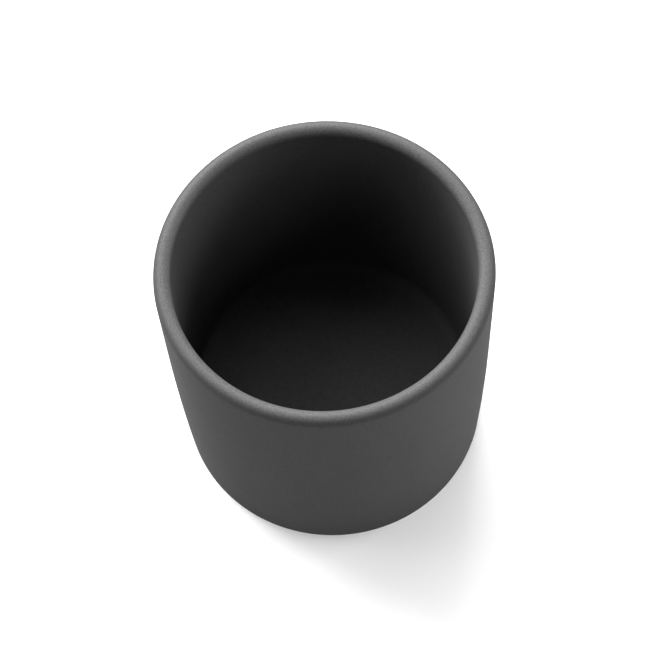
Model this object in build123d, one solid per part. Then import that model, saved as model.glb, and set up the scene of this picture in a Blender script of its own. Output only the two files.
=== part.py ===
from build123d import *
from math import asin, degrees, sqrt
import os

# An empty ceramic candle jar: a cup with a wall that is straight at the mouth and curves in very
# slightly towards the base, cast in one piece, with a thin matte glaze fired onto everything but
# its underside.
#
# Frame, in millimetres: +Z is up, along the jar's axis. The origin is the centre of the plane
# that the foot ring stands on.

# Driving dimensions
outer_diameter = 88.0     # at the straight part of the wall
height = 88.5
wall_thickness = 4.4      # glaze included, the same from the lip to the floor
wall_curve_top = 54.0     # the outside is straight above this height and curved below it
wall_curve_radius = 1230.0
floor_height = 13.0       # from the standing plane to the inside floor
floor_fillet = 3.6        # inside, where the wall runs into the floor
base_corner = 3.0         # outside, where the wall turns under the jar
glaze_thickness = 0.2

foot_height = 0.8         # how far the foot ring stands below the glazed base corner
foot_setback = 0.6        # from the end of the glaze in to the side of the foot ring
foot_width = 5.0          # radial width of the foot ring
foot_edge = 0.4           # rounding of the foot ring's two edges
recess_depth = 4.5        # hollow inside the foot ring, which keeps the warm floor off the table
recess_fillet = 1.5       # where the foot ring runs into the recess

# Sizes that follow from them
outer_radius = outer_diameter / 2
lip_radius = wall_thickness / 2
lip_height = height - lip_radius
inner_radius = outer_radius - wall_thickness
curve_centre = (outer_radius - wall_curve_radius, wall_curve_top)


def circle_inside_wall(wall_radius, radius, centre_height):
    """Where the circle that touches the wall's curve from inside has its centre, and how far
    below level the two touch, as an angle in degrees at the curve's own centre."""
    reach = wall_radius - radius
    drop = wall_curve_top - centre_height
    return (curve_centre[0] + sqrt(reach**2 - drop**2), centre_height), degrees(asin(drop / reach))


def cup_line(inset):
    """The glazed surface's half section, moved into the wall by inset, from the end of the glaze
    under the base corner, up the outside, over the lip and down to the centre of the floor."""
    corner = base_corner - inset
    lip = lip_radius - inset
    fillet = floor_fillet + inset
    outer_curve = wall_curve_radius - inset
    inner_curve = wall_curve_radius - wall_thickness + inset
    corner_centre, lean = circle_inside_wall(outer_curve, corner, foot_height + base_corner)
    cove_centre, inner_lean = circle_inside_wall(inner_curve, fillet, floor_height + floor_fillet)
    lip_centre = (outer_radius - lip_radius, lip_height)
    side = outer_radius - inset
    bore = inner_radius + inset
    return [
        CenterArc(corner_centre, corner, -90, 90 - lean),
        CenterArc(curve_centre, outer_curve, -lean, lean),
        Line((side, wall_curve_top), (side, lip_height)),
        CenterArc(lip_centre, lip, 0, 90),
        CenterArc(lip_centre, lip, 90, 90),
        Line((bore, lip_height), (bore, wall_curve_top)),
        CenterArc(curve_centre, inner_curve, 0, -inner_lean),
        CenterArc(cove_centre, fillet, -inner_lean, inner_lean - 90),
        Line((cove_centre[0], floor_height - inset), (0, floor_height - inset)),
    ]


def turned(lines):
    """The solid that a closed half section in the X-Z plane makes round the jar's axis."""
    section = make_face([Plane.XZ * line for line in lines])
    return revolve(section, Axis.Z, clean=False)


def matte_glaze():
    """The glaze: a thin skin on the outside, the rim and the inside, open under the base."""
    shown = cup_line(0)
    bonded = cup_line(glaze_thickness)
    glaze_end = Line(shown[0] @ 0, bonded[0] @ 0)
    centre = Line(shown[-1] @ 1, bonded[-1] @ 1)
    return turned(shown + [centre] + bonded + [glaze_end])


def jar_body():
    """The cast body: the cup under the glaze, with a bare foot ring round a recess."""
    bonded = cup_line(glaze_thickness)
    glaze_end = bonded[0] @ 0
    foot_outer = glaze_end.X - foot_setback
    foot_inner = foot_outer - foot_width
    underside = FilletPolyline(
        glaze_end,
        (foot_outer, glaze_end.Y),
        (foot_outer, 0),
        (foot_inner, 0),
        (foot_inner, recess_depth),
        (0, recess_depth),
        radius=[foot_edge / 2, foot_edge, foot_edge, recess_fillet],
    )
    centre = Line((0, recess_depth), bonded[-1] @ 1)
    return turned(bonded + [centre, underside])


os.makedirs("parts", exist_ok=True)
for make_part in (jar_body, matte_glaze):
    export_step(make_part(), f"parts/{make_part.__name__}.step")
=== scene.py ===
"""An empty ceramic candle jar: a bare stoneware body under a matte charcoal glaze.

Everything is in metres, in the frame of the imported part: +Z is up, along the jar's axis, and
the origin is the centre of the plane that the foot ring stands on.
"""
from math import asin, cos, pi, radians, sin, sqrt

import bpy
import numpy as np
from mathutils import Matrix, Vector


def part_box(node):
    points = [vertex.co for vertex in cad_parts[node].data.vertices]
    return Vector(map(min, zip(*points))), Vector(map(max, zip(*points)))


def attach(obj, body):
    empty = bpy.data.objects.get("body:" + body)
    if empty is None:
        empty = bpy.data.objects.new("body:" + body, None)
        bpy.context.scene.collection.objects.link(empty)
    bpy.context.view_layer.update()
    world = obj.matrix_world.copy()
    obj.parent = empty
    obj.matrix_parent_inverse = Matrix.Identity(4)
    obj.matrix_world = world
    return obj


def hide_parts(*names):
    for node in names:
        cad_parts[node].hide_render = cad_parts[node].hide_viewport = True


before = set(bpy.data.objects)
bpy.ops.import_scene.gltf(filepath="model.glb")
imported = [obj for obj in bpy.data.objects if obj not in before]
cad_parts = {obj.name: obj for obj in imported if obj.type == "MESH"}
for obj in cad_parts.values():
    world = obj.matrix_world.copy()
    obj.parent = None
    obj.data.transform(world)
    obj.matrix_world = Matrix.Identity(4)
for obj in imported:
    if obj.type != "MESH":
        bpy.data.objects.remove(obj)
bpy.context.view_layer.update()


# ---------------------------------------------------------------------------------------------
# The jar body. One piece of grey stoneware, cast in a plaster mould and fired before glazing.
# All that shows of it is the underside: a sponged foot ring and, inside it, a recess that keeps
# the faint rings of the mould, which was turned on a lathe. The rest is bonded to the glaze.
mm = 0.001
wall = 4.4 * mm
wall_curve_radius = 1230 * mm
wall_curve_top = 54 * mm
floor_height = 13 * mm
floor_fillet = 3.6 * mm
base_corner = 3.0 * mm
glaze_thickness = 0.2 * mm
foot_width = 5.0 * mm
foot_setback = 0.6 * mm
foot_edge = 0.4 * mm
recess_depth = 4.5 * mm
recess_fillet = 1.5 * mm

glaze_low, glaze_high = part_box("matte_glaze")
jar_radius = glaze_high.x
jar_top = glaze_high.z
foot_height = glaze_low.z
turns = 288
corner_steps = 14
curve_steps = 30
inner_curve_steps = 24
straight_steps = 16
lip_steps = 33


def arc(centre, radius, start, end, steps):
    """Points on a circle in the half section: centre + radius * (cos a, sin a), with the angle a
    going evenly from start to end, in degrees."""
    a = np.radians(np.linspace(start, end, steps))
    return np.stack([centre[0] + radius * np.cos(a), centre[1] + radius * np.sin(a)], axis=1)


def run(start, end, steps):
    """Evenly spaced points on the straight line from start to end, both left out."""
    t = np.linspace(0, 1, steps + 2)[1:-1, None]
    return (1 - t) * np.array(start) + t * np.array(end)


def touching_circle(wall_radius, radius, centre_height):
    """The circle that touches the wall's long curve from inside: its centre is where the distance
    from the curve's own centre is the difference of the two radii, and lean is the angle below
    level at which they touch, in degrees."""
    reach = wall_radius - radius
    drop = wall_curve_top - centre_height
    across = jar_radius - wall_curve_radius + sqrt(reach**2 - drop**2)
    return (across, centre_height), np.degrees(asin(drop / reach))


corner_centre, _ = touching_circle(wall_curve_radius, base_corner, foot_height + base_corner)


def cup_line(inset):
    """The half section of the glazed surface, moved into the wall by inset: the base corner, the
    outside, the lip, the inside, the cove and the floor, as rows of (radius, height)."""
    curve_centre = (jar_radius - wall_curve_radius, wall_curve_top)
    lip_centre = (jar_radius - wall / 2, jar_top - wall / 2)
    outer = wall_curve_radius - inset
    inner = wall_curve_radius - wall + inset
    corner = base_corner - inset
    cove = floor_fillet + inset
    _, lean = touching_circle(outer, corner, foot_height + base_corner)
    cove_centre, inner_lean = touching_circle(inner, cove, floor_height + floor_fillet)
    side = jar_radius - inset
    bore = jar_radius - wall + inset
    floor = floor_height - inset
    return np.concatenate([
        arc(corner_centre, corner, -90, -lean, corner_steps),
        arc(curve_centre, outer, -lean, 0, curve_steps)[1:],
        run((side, wall_curve_top), (side, lip_centre[1]), straight_steps),
        arc(lip_centre, wall / 2 - inset, 0, 180, lip_steps),
        run((bore, lip_centre[1]), (bore, wall_curve_top), straight_steps),
        arc(curve_centre, inner, 0, -inner_lean, inner_curve_steps),
        arc(cove_centre, cove, -inner_lean, -90, corner_steps)[1:],
        run((cove_centre[0], floor), (0, floor), straight_steps),
        [(0, floor)],
    ])


def moved_out(section, shift):
    """The section's points at every angle, as arrays of radius and height by (point, angle):
    each point plus shift times the section's own outward normal."""
    along = np.gradient(section, axis=0)
    along /= np.linalg.norm(along, axis=1, keepdims=True)
    return section[:, :1] + shift * along[:, 1:], section[:, 1:] - shift * along[:, :1]


def turned_piece(name, radius, height):
    """A closed surface of revolution: vertex (i, j) is radius[i, j] from the Z axis, at the angle
    2 pi j / turns and at height[i, j]. The first and the last row lie on the axis, where one
    vertex closes each pole."""
    angle = np.linspace(0, 2 * pi, turns, endpoint=False)
    grid = np.stack([radius * np.cos(angle), radius * np.sin(angle), height], axis=2)
    points = np.concatenate([grid[1:-1].reshape(-1, 3), grid[0, :1], grid[-1, :1]])
    ring = np.arange(len(points) - 2).reshape(-1, turns)
    beside = np.roll(ring, -1, axis=1)
    quads = np.stack([ring[:-1], beside[:-1], beside[1:], ring[1:]], axis=2).reshape(-1, 4)
    first = np.full(turns, len(points) - 2)
    first_cap = np.stack([first, beside[0], ring[0]], axis=1)
    last_cap = np.stack([first + 1, ring[-1], beside[-1]], axis=1)
    mesh = bpy.data.meshes.new(name)
    mesh.from_pydata(points.tolist(), [], quads.tolist() + first_cap.tolist() + last_cap.tolist())
    mesh.shade_smooth()
    piece = bpy.data.objects.new(name, mesh)
    bpy.context.scene.collection.objects.link(piece)
    return piece


def unevenness(section, size, waves, seed):
    """Slow swells over a turned surface, by (point, angle): the sum of cosines with 1 to 8 whole
    waves round the jar, a random slant along the section and a random phase. It fades to
    nothing at the axis, and size is its usual height."""
    most_waves = 8
    steepest_slant = 6
    fade_radius = 0.3 * jar_radius
    dice = np.random.default_rng(seed)
    steps = np.linalg.norm(np.diff(section, axis=0), axis=1)
    along = np.concatenate([[0], np.cumsum(steps)])[:, None] / jar_radius
    angle = np.linspace(0, 2 * pi, turns, endpoint=False)[None, :]
    total = np.zeros((len(section), turns))
    for _ in range(waves):
        slant, phase = dice.uniform((-steepest_slant, 0), (steepest_slant, 2 * pi))
        total += np.cos(dice.integers(1, most_waves + 1) * angle + slant * along + phase)
    fade = np.clip(section[:, :1] / fade_radius, 0, 1)
    return size * fade * total / sqrt(waves)


def underside():
    """The half section under the jar, from the axis out: the recess, the foot ring with its two
    rounded edges, and the narrow ledge up to where the glaze ends."""
    outer = corner_centre[0] - foot_setback
    inner = outer - foot_width
    ledge = foot_height + glaze_thickness
    half_edge = foot_edge / 2
    recess_steps = 70
    fillet_steps = 12
    edge_steps = 8
    return np.concatenate([
        [(0, recess_depth)],
        run((0, recess_depth), (inner - recess_fillet, recess_depth), recess_steps),
        arc((inner - recess_fillet, recess_depth - recess_fillet), recess_fillet, 90, 0, fillet_steps),
        run((inner, recess_depth - recess_fillet), (inner, foot_edge), 6),
        arc((inner + foot_edge, foot_edge), foot_edge, 180, 270, edge_steps),
        run((inner + foot_edge, 0), (outer - foot_edge, 0), straight_steps),
        arc((outer - foot_edge, foot_edge), foot_edge, -90, 0, edge_steps),
        arc((outer + half_edge, ledge - half_edge), half_edge, 180, 90, 6),
        run((outer + half_edge, ledge), (corner_centre[0], ledge), 2),
    ])


bare = underside()
bonded = cup_line(glaze_thickness)
body_section = np.concatenate([bare, bonded])
ring_pitch = 2.6 * mm
ring_height = 0.035 * mm
plain_middle = 4 * mm
mould_rings = ring_height * np.sin(2 * pi * bare[:, 0] / ring_pitch)
mould_rings *= (bare[:, 1] == recess_depth) * np.clip(bare[:, 0] / plain_middle, 0, 1)
body_swell = 0.03 * mm
body_shift = unevenness(body_section, body_swell, waves=24, seed=4)
body_shift[len(bare):] = 0
body_shift[:len(bare)] += mould_rings[:, None]
stands_on_table = body_section[:, 1] < 0.01 * mm
body_shift[stands_on_table] = 0
body_radius, body_height = moved_out(body_section, body_shift)
jar_body = turned_piece("jar_body_stoneware", body_radius, np.maximum(body_height, 0))


def link(tree, start, end):
    """Joins one node's output socket to another node's input socket."""
    tree.links.new(start, end)


def noise(tree, place, size, detail, roughness=0.5):
    """A noise pattern whose usual feature is size metres across, from 0 to 1."""
    node = tree.nodes.new("ShaderNodeTexNoise")
    node.inputs["Scale"].default_value = 1 / size
    node.inputs["Detail"].default_value = detail
    node.inputs["Roughness"].default_value = roughness
    link(tree, place, node.inputs["Vector"])
    return node.outputs["Fac"]


def stretched(tree, value, low, high, to_low, to_high):
    """The value carried from the range low-high to the range to_low-to_high, held at its ends."""
    node = tree.nodes.new("ShaderNodeMapRange")
    for socket, number in zip(("From Min", "From Max", "To Min", "To Max"), (low, high, to_low, to_high)):
        node.inputs[socket].default_value = number
    link(tree, value, node.inputs["Value"])
    return node.outputs["Result"]


def blended(tree, fraction, under, over):
    """A colour mix: under where fraction is 0, over where it is 1. Either may be a socket. The
    Mix node has several sockets of each name, so its colour sockets are taken by number."""
    first_colour, second_colour, mixed_colour = 6, 7, 2
    node = tree.nodes.new("ShaderNodeMix")
    node.data_type = "RGBA"
    link(tree, fraction, node.inputs["Factor"])
    for socket, colour in ((node.inputs[first_colour], under), (node.inputs[second_colour], over)):
        if isinstance(colour, bpy.types.NodeSocket):
            link(tree, colour, socket)
        else:
            socket.default_value = (*colour, 1)
    return node.outputs[mixed_colour]


def raised(tree, height, depth, strength, under=None):
    """A bump of the given depth in metres, on top of the bump under it."""
    node = tree.nodes.new("ShaderNodeBump")
    node.inputs["Distance"].default_value = depth
    node.inputs["Strength"].default_value = strength
    link(tree, height, node.inputs["Height"])
    if under is not None:
        link(tree, under, node.inputs["Normal"])
    return node.outputs["Normal"]


def times(tree, first, second):
    """The product of two values."""
    node = tree.nodes.new("ShaderNodeMath")
    node.operation = "MULTIPLY"
    link(tree, first, node.inputs[0])
    link(tree, second, node.inputs[1])
    return node.outputs["Value"]


def from_axis(tree, split):
    """The distance from the Z axis: the length of the (X, Y) part of a separated position."""
    flat = tree.nodes.new("ShaderNodeCombineXYZ")
    link(tree, split.outputs["X"], flat.inputs["X"])
    link(tree, split.outputs["Y"], flat.inputs["Y"])
    node = tree.nodes.new("ShaderNodeVectorMath")
    node.operation = "LENGTH"
    link(tree, flat.outputs["Vector"], node.inputs[0])
    return node.outputs["Value"]


def new_finish(name):
    """An empty material with one Principled shader, and the piece's own coordinates in metres."""
    finish = bpy.data.materials.new(name)
    finish.use_nodes = True
    tree = finish.node_tree
    place = tree.nodes.new("ShaderNodeTexCoord").outputs["Object"]
    return finish, tree, tree.nodes["Principled BSDF"], place


def bare_stoneware():
    """Unglazed grey-buff stoneware: a sandy, slightly pitted grain, darker iron specks, and a foot
    ring that is rubbed a little darker where it has stood."""
    dark_clay = (0.36, 0.32, 0.27)
    light_clay = (0.47, 0.43, 0.37)
    sand = (0.58, 0.54, 0.47)
    iron_brown = (0.13, 0.09, 0.06)
    worn_grey = (0.20, 0.18, 0.16)
    speck_spacing = 1.7 * mm
    finish, tree, shader, place = new_finish("bare_stoneware")
    clouds = noise(tree, place, 9 * mm, 3)
    grain = noise(tree, place, 0.35 * mm, 4, 0.7)
    specks = tree.nodes.new("ShaderNodeTexVoronoi")
    specks.inputs["Scale"].default_value = 1 / speck_spacing
    link(tree, place, specks.inputs["Vector"])
    clay = blended(tree, clouds, dark_clay, light_clay)
    sandy = blended(tree, stretched(tree, grain, 0.35, 0.7, 0, 0.5), clay, sand)
    iron = stretched(tree, specks.outputs["Distance"], 0.1, 0.2, 0.75, 0)
    spotted = blended(tree, iron, sandy, iron_brown)
    split = tree.nodes.new("ShaderNodeSeparateXYZ")
    link(tree, place, split.inputs["Vector"])
    rubbed = stretched(tree, split.outputs["Z"], 0.05 * mm, 0.5 * mm, 0.45, 0)
    link(tree, blended(tree, rubbed, spotted, worn_grey), shader.inputs["Base Color"])
    link(tree, stretched(tree, grain, 0.3, 0.7, 0.78, 0.95), shader.inputs["Roughness"])
    shader.inputs["Specular IOR Level"].default_value = 0.3
    coarse = raised(tree, noise(tree, place, 1.6 * mm, 3), 0.12 * mm, 0.4)
    link(tree, raised(tree, grain, 0.06 * mm, 0.6, coarse), shader.inputs["Normal"])
    return finish


jar_body.data.materials.append(bare_stoneware())
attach(jar_body, "root")
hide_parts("jar_body")


# ---------------------------------------------------------------------------------------------
# The glaze. A matte charcoal coat, fired onto the outside, the lip and the inside in one go. It
# lies a little unevenly, so light slides over it softly, and it was wiped off the underside with
# a sponge before firing, which leaves a slightly wavy, rounded edge under the base corner.
shown = cup_line(0)
bead_angle = -91.3
end_bead = arc(corner_centre, base_corner - glaze_thickness / 2, bead_angle, bead_angle, 1)
glaze_section = np.concatenate([bonded[::-1], end_bead, shown])
glaze_swell = 0.022 * mm
glaze_shift = unevenness(glaze_section, glaze_swell, waves=30, seed=11)
glaze_shift[:len(bonded) + 1] = 0
glaze_radius, glaze_height = moved_out(glaze_section, glaze_shift)


def wiped_edge(radius, height):
    """The glaze's end pulled back along the base corner by 0 to 9 degrees, more or less round the
    jar: points of the corner turn about its centre, the end by the most and the wall not at all.
    How far it is pulled varies round the jar as a sum of cosines, the shorter waves lower."""
    most_wiped = radians(9)
    dice = np.random.default_rng(7)
    angle = np.linspace(0, 2 * pi, turns, endpoint=False)
    wave = sum(np.cos(k * angle + dice.uniform(0, 2 * pi)) / sqrt(k) for k in (2, 3, 5, 8, 13, 21, 34))
    pull = most_wiped * (wave - wave.min()) / np.ptp(wave)
    hold = np.zeros(len(radius))
    middle = len(bonded)
    fall = np.linspace(1, 0, corner_steps)
    hold[middle] = 1
    hold[middle + 1:middle + 1 + corner_steps] = fall
    hold[middle - corner_steps:middle] = fall[::-1]
    turn = hold[:, None] * pull[None, :]
    across = radius - corner_centre[0]
    up = height - corner_centre[1]
    new_radius = corner_centre[0] + across * np.cos(turn) - up * np.sin(turn)
    new_height = corner_centre[1] + across * np.sin(turn) + up * np.cos(turn)
    return new_radius, new_height


matte_glaze = turned_piece("matte_glaze_coat", *wiped_edge(glaze_radius, glaze_height))


def charcoal_glaze():
    """Matte charcoal glaze: a dense fine grain of crystals, faint clouds where it lies thicker, a
    lip made more satin and painted lighter as a painted highlight, a few pinholes and one pale
    fleck on the floor. The lip's part is its crown and inner side."""
    thick_charcoal = (0.041, 0.041, 0.0415)
    thin_charcoal = (0.048, 0.048, 0.0485)
    mottle_grey = (0.058, 0.058, 0.058)
    crystal_grey = (0.085, 0.085, 0.084)
    # The lip's painted highlight colour, lighter than the glaze's own charcoal.
    lip_highlight_grey = (0.10, 0.10, 0.099)
    fleck_grey = (0.09, 0.09, 0.09)
    lip_bottom, lip_full = jar_top - 2.6 * mm, jar_top - 0.9 * mm
    crown_edge, crown_end = jar_radius - 1.7 * mm, jar_radius - 0.6 * mm
    fleck_at = (-6 * mm, -9 * mm, floor_height)
    pinhole_spacing = 5 * mm
    finish, tree, shader, place = new_finish("matte_charcoal_glaze")
    clouds = noise(tree, place, 14 * mm, 2)
    mottle = noise(tree, place, 1.5 * mm, 3)
    grain = noise(tree, place, 0.4 * mm, 3, 0.65)
    base = blended(tree, clouds, thick_charcoal, thin_charcoal)
    mottled = blended(tree, stretched(tree, mottle, 0.35, 0.65, 0, 0.35), base, mottle_grey)
    grainy = blended(tree, stretched(tree, grain, 0.4, 0.75, 0, 0.45), mottled, crystal_grey)
    split = tree.nodes.new("ShaderNodeSeparateXYZ")
    link(tree, place, split.inputs["Vector"])
    near_top = stretched(tree, split.outputs["Z"], lip_bottom, lip_full, 0, 1)
    off_shoulder = stretched(tree, from_axis(tree, split), crown_edge, crown_end, 1, 0)
    lip = times(tree, near_top, off_shoulder)
    # Painted highlight: the lip's crown and inner side are lightened towards a pale grey, broken up by
    # the grain. The same lip mask also lowers the roughness there, which makes the lip more satin.
    painted_lip_highlight = times(tree, lip, stretched(tree, grain, 0.35, 0.65, 0.15, 0.85))
    with_painted_lip_highlight = blended(tree, painted_lip_highlight, grainy, lip_highlight_grey)
    from_fleck = tree.nodes.new("ShaderNodeVectorMath")
    from_fleck.operation = "DISTANCE"
    from_fleck.inputs[1].default_value = fleck_at
    link(tree, place, from_fleck.inputs[0])
    fleck = stretched(tree, from_fleck.outputs["Value"], 0.3 * mm, 0.9 * mm, 0.5, 0)
    link(tree, blended(tree, fleck, with_painted_lip_highlight, fleck_grey), shader.inputs["Base Color"])
    satin = tree.nodes.new("ShaderNodeMix")
    link(tree, lip, satin.inputs["Factor"])
    link(tree, stretched(tree, mottle, 0.3, 0.7, 0.92, 1.0), satin.inputs["A"])
    link(tree, stretched(tree, grain, 0.3, 0.7, 0.44, 0.56), satin.inputs["B"])
    link(tree, satin.outputs["Result"], shader.inputs["Roughness"])
    shader.inputs["Specular IOR Level"].default_value = 0.12
    holes = tree.nodes.new("ShaderNodeTexVoronoi")
    holes.inputs["Scale"].default_value = 1 / pinhole_spacing
    link(tree, place, holes.inputs["Vector"])
    pinholes = stretched(tree, holes.outputs["Distance"], 0.02, 0.05, 0, 1)
    peel = raised(tree, mottle, 0.05 * mm, 0.25)
    pitted = raised(tree, pinholes, 0.04 * mm, 0.3, peel)
    link(tree, raised(tree, grain, 0.04 * mm, 0.8, pitted), shader.inputs["Normal"])
    return finish


matte_glaze.data.materials.append(charcoal_glaze())
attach(matte_glaze, "root")
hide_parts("matte_glaze")


# ---------------------------------------------------------------------------------------------
# The table that the jar stands on isn't part of it: a wide sheet of matte white acrylic, lit from
# below as well, as a light table is, and more so further out, so that shadows on it stay pale.
table_half = 4.0
glow_radii = (0.4, 1.6)
glow_strengths = (0.32, 1.0)
acrylic_greys = (0.68, 0.70)
table_mesh = bpy.data.meshes.new("white_table")
table_corners = [(x * table_half, y * table_half, 0) for x, y in ((-1, -1), (1, -1), (1, 1), (-1, 1))]
table_mesh.from_pydata(table_corners, [], [(0, 1, 2, 3)])
white_table = bpy.data.objects.new("white_table", table_mesh)
bpy.context.scene.collection.objects.link(white_table)
acrylic, table_tree, table_shader, table_place = new_finish("white_acrylic")
faint = stretched(table_tree, noise(table_tree, table_place, 3 * mm, 2), 0, 1, *acrylic_greys)
table_colour = table_tree.nodes.new("ShaderNodeCombineColor")
for channel in table_colour.inputs:
    link(table_tree, faint, channel)
link(table_tree, table_colour.outputs["Color"], table_shader.inputs["Base Color"])
table_shader.inputs["Roughness"].default_value = 0.85
table_shader.inputs["Specular IOR Level"].default_value = 0.2
table_shader.inputs["Emission Color"].default_value = (1, 1, 1, 1)
table_split = table_tree.nodes.new("ShaderNodeSeparateXYZ")
link(table_tree, table_place, table_split.inputs["Vector"])
glow = stretched(table_tree, from_axis(table_tree, table_split), *glow_radii, *glow_strengths)
link(table_tree, glow, table_shader.inputs["Emission Strength"])
table_mesh.materials.append(acrylic)


# ---------------------------------------------------------------------------------------------
# The studio light: large softboxes round the jar, the strongest behind it, and little light from
# the camera's side, so that the inside falls into the dark.
softbox_side = 0.55


def softbox(name, azimuth, elevation, watts):
    """A square area light a metre from the jar's middle and facing it, at an azimuth from +Y
    towards +X and an elevation above the table, both in degrees."""
    lamp = bpy.data.lights.new(name, "AREA")
    lamp.shape = "SQUARE"
    lamp.size = softbox_side
    lamp.energy = watts
    a, e = radians(azimuth), radians(elevation)
    away = Vector((sin(a) * cos(e), cos(a) * cos(e), sin(e)))
    lamp_object = bpy.data.objects.new(name, lamp)
    lamp_object.location = Vector((0, 0, jar_top / 2)) + away
    lamp_object.rotation_mode = "QUATERNION"
    lamp_object.rotation_quaternion = away.to_track_quat("Z", "Y")
    lamp_object.visible_camera = False
    bpy.context.scene.collection.objects.link(lamp_object)


softbox("left_back_softbox", -45, 28, 16)
softbox("back_softbox", 0, 35, 13)
softbox("high_back_softbox", 10, 65, 5)
softbox("overhead_softbox", 0, 89, 0.3)
softbox("right_softbox", 85, 18, 7)
softbox("right_front_softbox", 135, 27, 3)
softbox("left_softbox", -88, 42, 1.5)
softbox("high_left_softbox", -68, 50, 4.5)

world = bpy.data.worlds.new("studio")
world.use_nodes = True
world.node_tree.nodes["Background"].inputs["Color"].default_value = (1, 1, 1, 1)
world.node_tree.nodes["Background"].inputs["Strength"].default_value = 0.04
bpy.context.scene.world = world
bpy.context.scene.view_settings.view_transform = "Standard"


# ---------------------------------------------------------------------------------------------
# The camera looks steeply down into the jar from the front, a little tilted to one side.
camera_aim = Vector((-0.86 * mm, 0, 53.1 * mm))
camera_distance = 529 * mm
camera_elevation = radians(64.6)
camera_azimuth = radians(0.22)
camera_roll = radians(-4.5)
lens = bpy.data.cameras.new("camera")
lens.sensor_width = 36
lens.lens = 107.7
lens.clip_start = 0.05
lens.clip_end = 20
camera = bpy.data.objects.new("camera", lens)
bpy.context.scene.collection.objects.link(camera)
back = Vector((
    sin(camera_azimuth) * cos(camera_elevation),
    -cos(camera_azimuth) * cos(camera_elevation),
    sin(camera_elevation),
))
camera.location = camera_aim + camera_distance * back
camera.rotation_mode = "QUATERNION"
level = back.to_track_quat("Z", "Y").to_matrix()
camera.rotation_quaternion = (level @ Matrix.Rotation(camera_roll, 3, "Z")).to_quaternion()
bpy.context.scene.camera = camera
